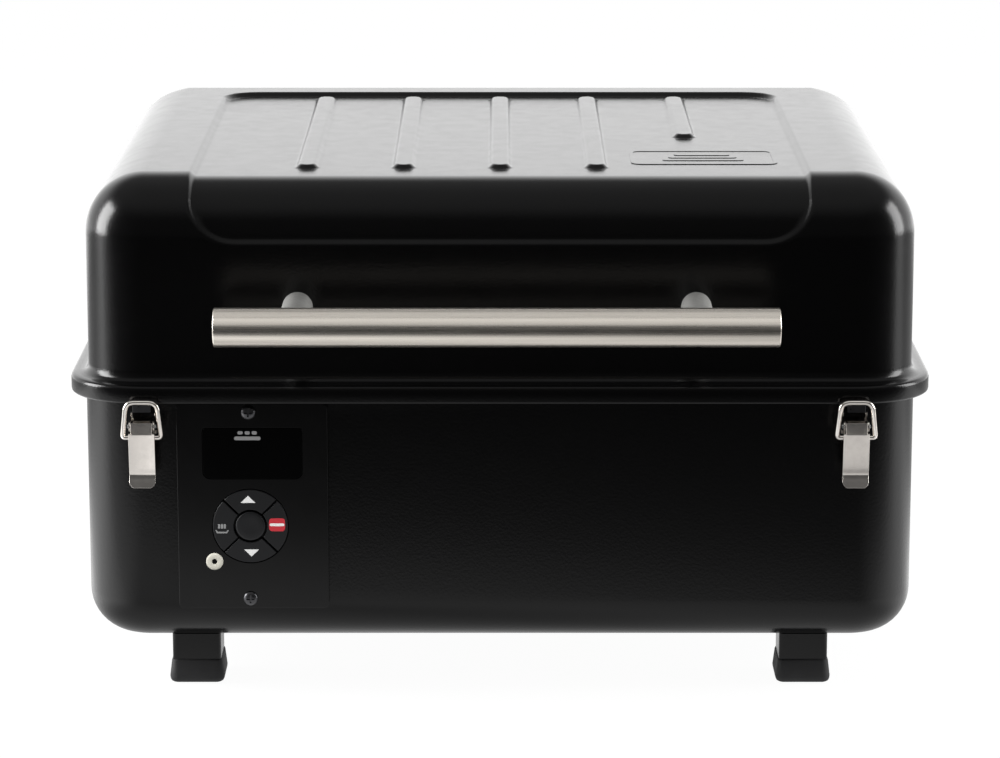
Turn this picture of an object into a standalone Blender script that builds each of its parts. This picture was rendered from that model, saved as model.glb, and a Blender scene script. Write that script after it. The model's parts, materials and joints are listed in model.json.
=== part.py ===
"""Portable tabletop pellet smoker grill, built as an assembly of separate pieces.

All sizes are millimetres until `to_scene` turns them into metres. Inside this script x runs from
the centre plane to the right, y runs back from the front edge of the rim, and z runs up from the
ground. The finished assembly has its origin at the bottom centre of its overall box.
"""
import bpy
import bmesh
from math import asin, cos, pi, radians, sin
from mathutils import Matrix, Vector

MM = 0.001

# Overall sizes
WIDTH = 542.0                 # over the rim
RIM_DEPTH = 440.0             # rim, front to back
HEIGHT = 330.0
HANDLE_REACH = 62.7           # handle bar in front of the rim
HINGE_REACH = 6.9             # hinge knuckles behind the rim
RIM_FRONT = HANDLE_REACH - (RIM_DEPTH + HANDLE_REACH + HINGE_REACH) / 2
RIM_CORNER = 49.0             # plan radius of the rim's corners
GAP = 0.35                    # free gap between pieces that touch

# Lid and tub shells
WALL_INSET = 11.0             # shell walls stand this far inside the rim
SKIN = 2.0
WALL_BACK = RIM_DEPTH - WALL_INSET
LIP_BOTTOM = 191.2
RIM_EDGE_TOP = 202.3
FLANGE_ROOT = 206.0
FLANGE_UNDERSIDE = 201.0
LID_EDGE_R = 38.0
BACK_CROWN = 0.66              # the rear top edge is tighter by this factor
TUB_BOTTOM = 33.0
TUB_EDGE_R = 29.0
TUB_SIDE = 1.6                 # the side walls stand this much further out
TUB_FLANGE_INSET = 3.2
TUB_TOP = 198.9
FLOOR = TUB_BOTTOM + SKIN

# Stamped panel in the top of the lid
PANEL_HALF_W = 194.5
PANEL_DEPTH = 3.0
PANEL_LOW = 289.5             # lower edge on the front face
PANEL_BACK = 384.0
PANEL_FRONT_R = 30.0
PANEL_BACK_R = 25.0
RIB_PITCH = 61.0
RIB_W = 15.5
RIB_HIGH = 2.0
RIB_BACK = 369.0
RIB_FRONT = 71.0
SHORT_RIB_FRONT = 192.0

# Handle
BAR_R = 12.0
BAR_HALF = 171.5
BAR_Y = -HANDLE_REACH + BAR_R
BAR_Z = 250.7
BAR_X = -1.9                   # the handle sits a little left of the middle
STANDOFF_X = 123.7
STANDOFF_R = 9.5

# Lid hinges
HINGE_X = 185.0
HINGE_Y = RIM_DEPTH + HINGE_REACH - 3.2
HINGE_Z = 190.0
KNUCKLE_R = 3.2
HINGE_PIN_R = 1.5
HINGE_HALF_W = 25.0
KNUCKLE_HALF = 10.5           # half width of the lid leaf's middle knuckle
LEAF = 1.2                    # sheet thickness of the leaves

# Draw latches
LATCH_X = {"left": -222.4, "right": 221.2}
LEVER_PIVOT = (-3.5, 178.0)   # y, z
BAIL_PIVOT = (-5.0, 171.2)
BAIL_BAR = (-6.0, 193.7)
WIRE_R = 1.5
LATCH_PIN_R = 1.2
EAR_IN = 7.0
EAR_OUT = 7.9
LUG_HALF = 6.6
LEVER_HALF = 8.1
LEVER_FRONT = -9.2
LEVER_BACK = -8.0
LEVER_LEAN = 3.6               # the blade leans in towards its lower end

# Control panel on the front wall
BEZEL_X = (-201.9, -107.8)
BEZEL_Z = (58.0, 190.0)
BEZEL_Y = (6.7, WALL_INSET - GAP)
SCREEN_X = (-185.7, -123.7)
SCREEN_Z = (142.0, 174.2)
RING_X = -156.5
RING_Z = 111.4
RING_R = 23.6
RING_IN = 10.6
CENTRE_R = 9.4
SPLIT = 0.6                   # half of the groove between two ring buttons
BUTTON_Y = (6.2, 10.3)
JACK = (-179.3, 88.5)         # x, z
JACK_R = 5.4
JACK_BORE = 1.6
SCREW_X = -157.0
SCREW_Z = (64.4, 184.6)

# Legs and feet
FOOT_X = 194.0
FOOT_Y = (52.5, RIM_DEPTH - 52.5)
LEG_HALF = 15.5
LEG_HALF_DEPTH = 16.0
FOOT_HALF = 17.5
FOOT_HALF_DEPTH = 18.5
FOOT_HIGH = 15.6

# Inside
PARTITION_X = (-95.0, -93.5)
AUGER_Y = 220.0
AUGER_Z = 80.0
TUBE_OUT = 18.0
TUBE_IN = 16.0
TUBE_X = (-214.0, 42.0)
FLIGHT_R = 14.5
SHAFT_R = 4.0
POT_X = 80.0
POT_OUT = 44.0
POT_TOP = 112.0
HOPPER_X = (-230.0, -124.0)
HOPPER_Y = (102.0, 398.0)
HOPPER_TOP = 192.3
OUTLET_X = (-200.0, -150.0)
OUTLET_Y = (207.0, 233.0)
DECK_Z = (192.8, 194.3)
HOPPER_HINGE = (-236.0, 197.4)   # x, z
HOPPER_LID_X = (-236.0, -118.0)
HOPPER_LID_Y = (96.0, 404.0)
HOPPER_LID_Z = (195.0, 196.2)
FAN = (-165.0, 85.0)          # x, y
FAN_HALF = 30.0
FAN_Z = (40.0, 60.0)
TRAY_Z = (126.0, 142.0)
GRATE_X = (-88.0, 246.0)
GRATE_Y = (26.0, 414.0)
GRATE_Z = (177.5, 183.5)

# Colour, roughness, metallic
FINISHES = {
    "black_coat": ((0.012, 0.012, 0.013), 0.25, 0.0),
    "panel": ((0.02, 0.02, 0.022), 0.45, 0.0),
    "button": ((0.035, 0.036, 0.04), 0.5, 0.0),
    "screen": ((0.004, 0.004, 0.005), 0.06, 0.0),
    "stainless": ((0.62, 0.58, 0.55), 0.3, 1.0),
    "nickel": ((0.66, 0.65, 0.62), 0.25, 1.0),
    "dark_metal": ((0.08, 0.08, 0.085), 0.35, 1.0),
    "steel": ((0.45, 0.46, 0.47), 0.4, 1.0),
    "rubber": ((0.02, 0.02, 0.02), 0.8, 0.0),
    "iron": ((0.05, 0.048, 0.046), 0.6, 0.6),
    "plastic": ((0.03, 0.03, 0.03), 0.6, 0.0),
    "silicone": ((0.06, 0.06, 0.06), 0.7, 0.0),
}


# ---------------------------------------------------------------- outlines and solids

def to_scene(point):
    x, y, z = point
    return Vector((x * MM, (y + RIM_FRONT) * MM, z * MM))


def arc(centre, radius, start, end, steps):
    """Points on an arc, in degrees, both ends included."""
    for step in range(steps + 1):
        angle = radians(start + (end - start) * step / steps)
        yield centre[0] + radius * cos(angle), centre[1] + radius * sin(angle)


def rounded(lo, hi, radii, steps=4):
    """A rectangle with a radius for each corner: low-low, high-low, high-high, low-high."""
    corners = [(lo[0], lo[1], 1, 1), (hi[0], lo[1], -1, 1), (hi[0], hi[1], -1, -1), (lo[0], hi[1], 1, -1)]
    points = []
    for index, (x, y, dx, dy) in enumerate(corners):
        radius = radii[index] if isinstance(radii, (tuple, list)) else radii
        if radius <= 0:
            points.append((x, y))
            continue
        start = 180 + 90 * index
        points.extend(arc((x + dx * radius, y + dy * radius), radius, start, start + 90, steps))
    return points


def circle(centre, radius, segments=20):
    return list(arc(centre, radius, 0, 360 - 360 / segments, segments - 1))


def lift(axis, point, height):
    """Put a flat point (in the two axes that aren't `axis`, in x, y, z order) at a height."""
    u, v = point
    return {"X": (height, u, v), "Y": (u, height, v), "Z": (u, v, height)}[axis]


def loft(rings, closed=False):
    """A skin through rings with equal point counts, capped at both ends unless closed."""
    count = len(rings[0])
    points = [point for ring in rings for point in ring]
    faces = []
    spans = len(rings) if closed else len(rings) - 1
    for row in range(spans):
        low = row * count
        high = ((row + 1) % len(rings)) * count
        for step in range(count):
            after = (step + 1) % count
            faces.append((low + step, low + after, high + after, high + step))
    if not closed:
        faces.append(tuple(range(count))[::-1])
        faces.append(tuple(range(len(points) - count, len(points))))
    return points, faces


def prism(axis, outline, lo, hi):
    return loft([[lift(axis, point, height) for point in outline] for height in (lo, hi)])


def box(x, y, z):
    return prism("Z", [(x[0], y[0]), (x[1], y[0]), (x[1], y[1]), (x[0], y[1])], z[0], z[1])


def cylinder(axis, centre, radius, lo, hi, segments=20):
    return prism(axis, circle(centre, radius, segments), lo, hi)


def turned(axis, centre, profile, segments=20):
    """A turned solid: profile is (radius, height) from one end to the other."""
    return loft([[lift(axis, point, height) for point in circle(centre, radius, segments)]
                 for radius, height in profile])


def ring(axis, centre, profile, segments=20):
    """A turned solid with a hole: profile is a closed loop of (radius, height)."""
    return loft([[lift(axis, point, height) for point in circle(centre, radius, segments)]
                 for radius, height in profile], closed=True)


def section(inset, z, steps=6, side=0.0, back=None):
    """The plan outline of the body, moved inwards from the rim's edge.

    side moves the two side walls back out, and back is another inset for the rear."""
    radius = max(RIM_CORNER - inset, 3.0)
    half = WIDTH / 2 - inset + side
    rear = RIM_DEPTH - (inset if back is None else back)
    return [(x, y, z) for x, y in rounded((-half, inset), (half, rear), radius, steps)]


def lattice(x_lines, y_lines, z, is_open):
    """A flat plate of cells with some left open; bars join along whole cell edges only."""
    points, faces, index = [], [], {}

    def vertex(column, row, level):
        key = (column, row, level)
        if key not in index:
            index[key] = len(points)
            points.append((x_lines[column], y_lines[row], z[level]))
        return index[key]

    columns, rows = len(x_lines) - 1, len(y_lines) - 1

    def solid(column, row):
        return 0 <= column < columns and 0 <= row < rows and not is_open(column, row)

    for column in range(columns):
        for row in range(rows):
            if not solid(column, row):
                continue
            corners = [(column, row), (column + 1, row), (column + 1, row + 1), (column, row + 1)]
            faces.append(tuple(vertex(c, r, 1) for c, r in corners))
            faces.append(tuple(vertex(c, r, 0) for c, r in reversed(corners)))
            sides = [(0, -1), (1, 0), (0, 1), (-1, 0)]
            for side, (dx, dy) in enumerate(sides):
                if not solid(column + dx, row + dy):
                    (ca, ra), (cb, rb) = corners[side], corners[(side + 1) % 4]
                    faces.append((vertex(ca, ra, 0), vertex(cb, rb, 0), vertex(cb, rb, 1), vertex(ca, ra, 1)))
    return points, faces


# ---------------------------------------------------------------- objects

def material(name, finish):
    colour, roughness, metallic = FINISHES[finish]
    made = bpy.data.materials.new(name)
    made.use_nodes = True
    shader = made.node_tree.nodes["Principled BSDF"]
    shader.inputs["Base Color"].default_value = (*colour, 1.0)
    shader.inputs["Roughness"].default_value = roughness
    shader.inputs["Metallic"].default_value = metallic
    return made


def add(name, shape, finish="black_coat", pivot=None):
    """One object; a moving piece gets its origin on its pivot."""
    points, faces = shape
    origin = to_scene(pivot) if pivot else Vector()
    mesh = bpy.data.meshes.new(name)
    mesh.from_pydata([to_scene(point) - origin for point in points], [], faces)
    work = bmesh.new()
    work.from_mesh(mesh)
    bmesh.ops.recalc_face_normals(work, faces=work.faces)
    work.to_mesh(mesh)
    work.free()
    mesh.shade_smooth()
    mesh.set_sharp_from_angle(angle=radians(35))
    mesh.materials.append(material(name, finish))
    made = bpy.data.objects.new(name, mesh)
    made.location = origin
    bpy.context.scene.collection.objects.link(made)
    return made


def guide(shape, name="guide"):
    made = add(name, shape)
    made.hide_render = True
    made.display_type = "WIRE"
    return made


def combine(target, operation, *tools):
    """Add, cut or intersect tools, which are shapes or guide objects."""
    for tool in tools:
        if isinstance(tool, tuple):
            tool = guide(tool, f"{target.name}_{operation.lower()}")
        step = target.modifiers.new(operation.lower(), "BOOLEAN")
        step.operation = operation
        step.solver = "EXACT"
        step.object = tool
    return target


def cut(target, *tools):
    return combine(target, "DIFFERENCE", *tools)


def join(target, *tools):
    return combine(target, "UNION", *tools)


# ---------------------------------------------------------------- lid

def crown_rows(offset, steps=6):
    """Rings from the lid's wall over its rounded top edge, moved inwards by an offset."""
    radius = LID_EDGE_R - offset
    centre_inset = WALL_INSET + LID_EDGE_R
    centre_z = HEIGHT - LID_EDGE_R
    rows = []
    for step in range(steps + 1):
        turn = radians(90 * step / steps)
        reach = radius * (1 - cos(turn))
        wall = centre_inset - radius
        rows.append(section(wall + reach, centre_z + radius * sin(turn), back=wall + reach * BACK_CROWN))
    return rows


def panel_cutter(offset, grow):
    """The stamped panel: the space outside a smaller crown, within the panel's outline."""
    half = PANEL_HALF_W + grow
    plan = rounded((-half, -20), (half, PANEL_BACK + grow), (0, 0, PANEL_BACK_R, PANEL_BACK_R))
    front = rounded((-half, PANEL_LOW - grow), (half, HEIGHT + 20), (PANEL_FRONT_R, PANEL_FRONT_R, 0, 0))
    cutter = guide(prism("Z", plan, PANEL_LOW - 40, HEIGHT + 10), "panel_space")
    combine(cutter, "INTERSECT", prism("Y", front, -30, RIM_DEPTH))
    crown = crown_rows(offset)
    foot = [(x, y, PANEL_LOW - 60) for x, y, z in crown[0]]
    return cut(cutter, loft([foot] + crown))


def rib(x, front):
    low, high = HEIGHT - PANEL_DEPTH - 1, HEIGHT - PANEL_DEPTH + RIB_HIGH
    outline = [(front - 2, low), (RIB_BACK + 2, low), (RIB_BACK - 3, high), (front + 5, high)]
    return prism("X", outline, x - RIB_W / 2, x + RIB_W / 2)


def build_lid():
    rim = [section(1, LIP_BOTTOM), section(0, LIP_BOTTOM + 1), section(0, RIM_EDGE_TOP - 2),
           section(0.6, RIM_EDGE_TOP - 0.6), section(2, RIM_EDGE_TOP), section(7, RIM_EDGE_TOP + 0.6),
           section(WALL_INSET, FLANGE_ROOT)]
    lid = add("lid_shell", loft(rim + crown_rows(0)), pivot=(0, HINGE_Y, HINGE_Z))
    cut(lid, panel_cutter(PANEL_DEPTH, 0))
    fronts = [RIB_FRONT] * 4 + [SHORT_RIB_FRONT]
    join(lid, *[rib((index - 2) * RIB_PITCH, front) for index, front in enumerate(fronts)])
    inside = [section(SKIN, LIP_BOTTOM - 5), section(SKIN, FLANGE_UNDERSIDE),
              section(WALL_INSET + SKIN, FLANGE_UNDERSIDE)]
    cavity = guide(loft(inside + crown_rows(SKIN)), "lid_cavity")
    cut(cavity, panel_cutter(PANEL_DEPTH + SKIN, SKIN))
    cut(lid, cavity)
    cut(lid, *[cylinder("Y", (BAR_X + side * STANDOFF_X, BAR_Z), 3.0, 0, 20) for side in (-1, 1)])
    loop = [(199.3, 4.0), (200.6, 4.0), (200.6, 12.0), (199.3, 12.0)]
    add("lid_gasket", loft([section(inset, z, 4) for z, inset in loop], closed=True), "silicone")


def build_handle():
    chamfer = 0.8
    bar = [(BAR_R - chamfer, BAR_X - BAR_HALF), (BAR_R, BAR_X - BAR_HALF + chamfer),
           (BAR_R, BAR_X + BAR_HALF - chamfer), (BAR_R - chamfer, BAR_X + BAR_HALF)]
    add("handle_bar", turned("X", (BAR_Y, BAR_Z), bar, 32), "stainless")
    for side, label in ((-1, "left"), (1, "right")):
        centre = (BAR_X + side * STANDOFF_X, BAR_Z)
        standoff = add(f"handle_standoff_{label}",
                       cylinder("Y", centre, STANDOFF_R, BAR_Y + 4, WALL_INSET - GAP, 24), "dark_metal")
        saddle = cylinder("X", (BAR_Y, BAR_Z), BAR_R + GAP, centre[0] - 20, centre[0] + 20, 32)
        cut(standoff, saddle, cylinder("Y", centre, 3.0, -24, 20))
        screw = [(2.4, -20), (2.4, 13.4), (6.5, 13.4), (6.5, 15.4), (4.5, 16.6)]
        add(f"handle_screw_{label}", turned("Y", centre, screw, 16), "steel")


def build_hinges():
    centre = (HINGE_Y, HINGE_Z)
    for side, label in ((-1, "left"), (1, "right")):
        x = side * HINGE_X
        lo, hi = x - HINGE_HALF_W, x + HINGE_HALF_W
        leaf_y = (RIM_DEPTH + GAP, RIM_DEPTH + GAP + LEAF)
        inner = (x - KNUCKLE_HALF, x + KNUCKLE_HALF)
        lid_leaf = add(f"hinge_lid_leaf_{label}", cylinder("X", centre, KNUCKLE_R, *inner), "dark_metal")
        join(lid_leaf, box(inner, leaf_y, (HINGE_Z, 196)), box((lo, hi), leaf_y, (194.2, 201.5)))
        cut(lid_leaf, cylinder("X", centre, HINGE_PIN_R + GAP, lo, hi, 16))
        wall_y = (WALL_BACK + GAP, WALL_BACK + GAP + LEAF)
        low = HINGE_Z - KNUCKLE_R
        base_leaf = add(f"hinge_base_leaf_{label}", box((lo, hi), wall_y, (158, low + LEAF)), "dark_metal")
        join(base_leaf, box((lo, hi), (wall_y[0], HINGE_Y), (low, low + LEAF)))
        notch = (inner[0] - GAP, inner[1] + GAP)
        cut(base_leaf, box(notch, (wall_y[1] + 6, HINGE_Y + 5), (low - 2, HINGE_Z)))
        join(base_leaf, cylinder("X", centre, KNUCKLE_R, lo, inner[0] - GAP),
             cylinder("X", centre, KNUCKLE_R, inner[1] + GAP, hi))
        cut(base_leaf, cylinder("X", centre, HINGE_PIN_R + GAP, lo - 5, hi + 5, 16))
        add(f"hinge_pin_{label}", cylinder("X", centre, HINGE_PIN_R, lo - 1, hi + 1, 16), "steel")


# ---------------------------------------------------------------- latches

def bail_wire(x):
    """A bent wire: a short top bar, two spread legs, and ends turned in to the lever."""
    py, pz = BAIL_PIVOT
    by, bz = BAIL_BAR
    top, bottom, bend = 9.5, 12.0, 2.5
    path = [(x - LUG_HALF - 0.7, py, pz), (x - bottom + bend, py, pz)]
    path += [(x - bottom, py, pz + bend), (x - top, by, bz - bend), (x - top + bend, by, bz)]
    path += [(2 * x - px, y, z) for px, y, z in reversed(path)]
    return path


def swept(path, radius, sides=10):
    """A round bar along a path that stays close to the plane facing front."""
    rings = []
    for index, point in enumerate(path):
        before = Vector(path[max(index - 1, 0)])
        after = Vector(path[min(index + 1, len(path) - 1)])
        along = (after - before).normalized()
        first = Vector((0, 1, 0))
        first = (first - along * first.dot(along)).normalized()
        second = along.cross(first)
        incoming = (Vector(point) - before).normalized() if index else along
        stretch = 1 / max(incoming.dot(along), 0.6)
        turns = [2 * pi * side / sides for side in range(sides)]
        rings.append([tuple(Vector(point) + radius * (first * cos(turn) + second * stretch * sin(turn)))
                      for turn in turns])
    return loft(rings)


def build_latches():
    py, pz = LEVER_PIVOT
    for label, x in LATCH_X.items():
        pivot = (x, py, pz)
        base = add(f"latch_base_{label}", box((x - 6, x + 6), (9.4, WALL_INSET - GAP), (152, 184)), "nickel")
        join(base, box((x - EAR_OUT, x + EAR_OUT), (9.4, WALL_INSET - GAP), (170.5, 184)))
        ear = [(10, 172.5), (10, 182.5)] + list(arc(LEVER_PIVOT, 3.6, 90, 270, 8))
        join(base, prism("X", ear, x - EAR_OUT, x - EAR_IN), prism("X", ear, x + EAR_IN, x + EAR_OUT))
        cut(base, cylinder("X", LEVER_PIVOT, LATCH_PIN_R + GAP, x - 12, x + 12, 14))
        lug = [(LEVER_FRONT, 181.2), (LEVER_FRONT, 168), (-4.4, 168)]
        lug += list(arc(BAIL_PIVOT, 3.0, -60, 0, 3)) + list(arc(LEVER_PIVOT, 3.4, 0, 90, 4))
        lever = add(f"latch_lever_{label}", prism("X", lug, x - LUG_HALF, x + LUG_HALF), "nickel", pivot)
        low_front, low_back = LEVER_FRONT + LEVER_LEAN, LEVER_BACK + LEVER_LEAN
        blade = [(LEVER_FRONT, 174.5), (low_front, 147.2), (low_front - 3.4, 139.3), (low_front - 2.8, 138.9),
                 (low_front - 2.2, 139.1), (low_back, 146.9), (LEVER_BACK, 174.5)]
        join(lever, prism("X", blade, x - LEVER_HALF, x + LEVER_HALF))
        cut(lever, cylinder("X", LEVER_PIVOT, LATCH_PIN_R + GAP, x - 12, x + 12, 14),
            cylinder("X", BAIL_PIVOT, WIRE_R + GAP, x - 12, x + 12, 14))
        add(f"latch_pin_{label}", cylinder("X", LEVER_PIVOT, LATCH_PIN_R, x - 9, x + 9, 12), "steel")
        add(f"latch_bail_{label}", swept(bail_wire(x), WIRE_R), "nickel", (x, *BAIL_PIVOT))
        top = LIP_BOTTOM - GAP
        hook = [(4.0, top), (-2.9, top), (-2.9, 192.0), (-4.0, 192.0), (-4.0, 187.0), (-2.9, 187.0),
                (-2.9, top - 1.1), (4.0, top - 1.1)]
        add(f"latch_keeper_{label}", prism("X", hook, x - 5.5, x + 5.5), "dark_metal")


# ---------------------------------------------------------------- tub, legs and back fittings

def build_base():
    inner_r = TUB_EDGE_R - SKIN
    centre_inset, centre_z = WALL_INSET + TUB_EDGE_R, TUB_BOTTOM + TUB_EDGE_R

    def bottom_edge(radius, start, end, steps=5):
        for step in range(steps + 1):
            angle = radians(start + (end - start) * step / steps)
            yield section(centre_inset - radius * sin(angle), centre_z - radius * cos(angle), side=TUB_SIDE)

    rings = list(bottom_edge(TUB_EDGE_R, 0, 90))
    rings += [section(WALL_INSET, TUB_TOP - SKIN, side=TUB_SIDE), section(TUB_FLANGE_INSET, TUB_TOP - SKIN),
              section(TUB_FLANGE_INSET, TUB_TOP), section(WALL_INSET + SKIN, TUB_TOP, side=TUB_SIDE)]
    rings += list(bottom_edge(inner_r, 90, 0))
    base = add("base_shell", loft(rings))
    ledge_z = (GRATE_Z[0] - 2.6, GRATE_Z[0] - 0.6)
    join(base, box((-80, 220), (WALL_INSET + 1, 32), ledge_z), box((-80, 220), (408, WALL_BACK - 1), ledge_z))
    cut(base, box((-191, -119), (0, 20), (70, 180)))
    cut(base, box((28, 132), (420, 440), (145, 175)))
    cut(base, box((-176, -134), (420, 440), (62, 86)))
    for slot in range(5):
        x = FAN[0] + (slot - 2) * 10
        cut(base, box((x - 3, x + 3), (FAN[1] - 20, FAN[1] + 20), (TUB_BOTTOM - 5, FLOOR + 2)))


def build_feet():
    for y, row in zip(FOOT_Y, ("front", "back")):
        for side, label in ((-1, "left"), (1, "right")):
            x = side * FOOT_X
            leg = rounded((x - LEG_HALF, y - LEG_HALF_DEPTH), (x + LEG_HALF, y + LEG_HALF_DEPTH), 2.0, 2)
            add(f"leg_{row}_{label}", prism("Z", leg, FOOT_HIGH + GAP, TUB_BOTTOM - GAP))
            rows = [(0, 3.0), (1.2, 1.0), (3.5, 0.0), (FOOT_HIGH - 1, 1.2), (FOOT_HIGH, 1.8)]
            rings = [[(px, py, z) for px, py in
                      rounded((x - FOOT_HALF + inset, y - FOOT_HALF_DEPTH + inset),
                              (x + FOOT_HALF - inset, y + FOOT_HALF_DEPTH - inset), 4.0, 3)]
                     for z, inset in rows]
            add(f"foot_{row}_{label}", loft(rings), "rubber")


def build_back():
    columns = [20, 30, 78, 82, 130, 140]
    rows = [138] + [143 + step for pair in range(5) for step in (pair * 6.5, pair * 6.5 + 3.5)] + [177]
    points, faces = lattice(columns, rows, (WALL_BACK + GAP, WALL_BACK + 4),
                            lambda column, row: column in (1, 3) and row % 2 == 1)
    add("exhaust_vent", ([(x, z, y) for x, y, z in points], faces))
    plate = prism("Y", rounded((-180, 58), (-130, 90), 3, 2), WALL_BACK + GAP, WALL_BACK + 3.5)
    inlet = add("power_inlet", plate, "plastic")
    join(inlet, box((-173, -137), (405, WALL_BACK + 2), (64, 84)))
    cut(inlet, box((-168, -142), (412, 440), (67, 81)))


# ---------------------------------------------------------------- controls

def ring_button(middle):
    """A quarter of the button ring, with straight grooves to its neighbours."""
    outer, inner = asin(SPLIT / RING_R) * 180 / pi, asin(SPLIT / RING_IN) * 180 / pi
    centre = (RING_X, RING_Z)
    outline = list(arc(centre, RING_R, middle - 45 + outer, middle + 45 - outer, 9))
    outline += list(arc(centre, RING_IN, middle + 45 - inner, middle - 45 + inner, 6))
    return prism("Y", outline, *BUTTON_Y)


def build_controls():
    outline = rounded((BEZEL_X[0], BEZEL_Z[0]), (BEZEL_X[1], BEZEL_Z[1]), 3.0, 3)
    bezel = add("control_panel", prism("Y", outline, *BEZEL_Y), "panel")
    through = (0, 20)
    corners = (4, 4, 1, 1)
    window = rounded((SCREEN_X[0] - GAP, SCREEN_Z[0] - GAP), (SCREEN_X[1] + GAP, SCREEN_Z[1] + GAP),
                     corners, 3)
    cut(bezel, prism("Y", window, *through), cylinder("Y", (RING_X, RING_Z), RING_R + 0.6, *through, 36),
        cylinder("Y", JACK, 3.6, *through, 16),
        *[cylinder("Y", (SCREW_X, z), 2.5, *through, 14) for z in SCREW_Z])
    screen = rounded((SCREEN_X[0], SCREEN_Z[0]), (SCREEN_X[1], SCREEN_Z[1]), corners, 3)
    add("display_lens", prism("Y", screen, 6.5, 10.3), "screen")
    for name, middle in (("right", 0), ("up", 90), ("left", 180), ("down", 270)):
        add(f"button_{name}", ring_button(middle), "button", (RING_X, BUTTON_Y[0], RING_Z))
    dome = [(CENTRE_R - 1.2, BUTTON_Y[0] - 0.3), (CENTRE_R, BUTTON_Y[0] + 0.6), (CENTRE_R, BUTTON_Y[1])]
    add("button_centre", turned("Y", (RING_X, RING_Z), dome, 28), "button", (RING_X, BUTTON_Y[0], RING_Z))
    jack = [(JACK_R, 5.2), (JACK_R, 6.3), (3.2, 6.3), (3.2, 11.4), (1.0, 11.4), (1.0, 9.0), (JACK_BORE, 9.0),
            (JACK_BORE, 5.2)]
    add("probe_jack", ring("Y", JACK, jack, 24), "nickel")
    for name, z in zip(("lower", "upper"), SCREW_Z):
        screw = [(2.6, 3.9), (4.0, 4.5), (4.6, 5.6), (4.6, 6.3), (2.1, 6.3), (2.1, 10.4)]
        add(f"panel_screw_{name}", turned("Y", (SCREW_X, z), screw, 16), "dark_metal")
    add("controller_housing", box((-188, -122), (11.8, 46), (72, 178)), "plastic")


# ---------------------------------------------------------------- pellet feed and air

def rect_ring(x, y, z, grow=0.0):
    return [(x[0] - grow, y[0] - grow, z), (x[1] + grow, y[0] - grow, z),
            (x[1] + grow, y[1] + grow, z), (x[0] - grow, y[1] + grow, z)]


def build_hopper():
    wall, shoulder, outlet = 1.2, 168.0, AUGER_Z + TUBE_OUT + 0.8
    levels = [(OUTLET_X, OUTLET_Y, outlet), (HOPPER_X, HOPPER_Y, shoulder), (HOPPER_X, HOPPER_Y, HOPPER_TOP)]
    rings = [rect_ring(*level, wall) for level in levels] + [rect_ring(*level) for level in reversed(levels)]
    add("hopper", loft(rings, closed=True), "steel")
    inner = WALL_INSET + SKIN + 0.4
    radius = RIM_CORNER - inner
    plan = rounded((-WIDTH / 2 + inner, inner), (PARTITION_X[1] + 1, RIM_DEPTH - inner),
                   (radius, 0, 0, radius), 5)
    deck = add("hopper_deck", prism("Z", plan, *DECK_Z), "steel")
    cut(deck, box((HOPPER_X[0] + 1, HOPPER_X[1] - 1), (HOPPER_Y[0] + 1, HOPPER_Y[1] - 1), (180, 200)))
    axis_x, axis_z = HOPPER_HINGE
    for low in (150, 344):
        join(deck, box((axis_x - 3, axis_x + 3), (low, low + 6), (DECK_Z[0] + 0.4, axis_z + 3)))
    cut(deck, cylinder("Y", HOPPER_HINGE, 1.2 + GAP, 140, 360, 14))
    lid = add("hopper_lid", box(HOPPER_LID_X, HOPPER_LID_Y, HOPPER_LID_Z), "steel", (axis_x, AUGER_Y, axis_z))
    cut(lid, *[box((axis_x - 5, axis_x + 5), (low - 1, low + 7), (190, 199)) for low in (150, 344)])
    edge = (axis_x - 5, axis_x + 3)
    cut(lid, box(edge, (80, 149), (190, 199)), box(edge, (351, 420), (190, 199)))
    join(lid, cylinder("Y", HOPPER_HINGE, 2.5, 157, 343, 16))
    cut(lid, cylinder("Y", HOPPER_HINGE, 1.2 + GAP, 140, 360, 14))
    add("hopper_lid_pin", cylinder("Y", HOPPER_HINGE, 1.2, 149, 351, 12), "steel")


def build_partition():
    inner, radius = WALL_INSET + SKIN + 0.4, TUB_EDGE_R - SKIN
    outline = rounded((inner, FLOOR + 0.4), (RIM_DEPTH - inner, 192.0), (radius, radius, 0, 0), 5)
    wall = add("partition_wall", prism("X", outline, *PARTITION_X), "steel")
    tube_hole = cylinder("X", (AUGER_Y, AUGER_Z), TUBE_OUT + 0.5, -110, -80, 24)
    air_hole = box((-110, -80), (60, 110), (45, 62))
    cut(wall, tube_hole, air_hole)


def build_auger():
    centre = (AUGER_Y, AUGER_Z)
    bore = [(TUBE_OUT, TUBE_X[0]), (TUBE_OUT, TUBE_X[1]), (TUBE_IN, TUBE_X[1]), (TUBE_IN, TUBE_X[0])]
    tube = add("auger_tube", ring("X", centre, bore, 24), "steel")
    cut(tube, box((OUTLET_X[0] + 2, OUTLET_X[1] - 2), (OUTLET_Y[0] + 2, OUTLET_Y[1] - 2), (AUGER_Z + 4, 110)))
    start, end, pitch, blade, per_turn = -208.0, 32.0, 30.0, 1.6, 12
    steps = int((end - start) / pitch * per_turn)
    rings = []
    for step in range(steps + 1):
        x = start + pitch * step / per_turn
        turn = 2 * pi * step / per_turn
        rings.append([(x + dx, AUGER_Y + r * cos(turn), AUGER_Z + r * sin(turn))
                      for dx, r in ((-blade / 2, SHAFT_R - 1.5), (blade / 2, SHAFT_R - 1.5),
                                    (blade / 2, FLIGHT_R), (-blade / 2, FLIGHT_R))])
    auger = add("auger", cylinder("X", centre, SHAFT_R, -217.4, end + 3, 12), "steel", (0, AUGER_Y, AUGER_Z))
    join(auger, loft(rings))
    motor = add("auger_motor", box((-236, -218), (197, 243), (57, 103)), "dark_metal")
    join(motor, cylinder("X", centre, 17, -254, -235.5, 20))


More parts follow.
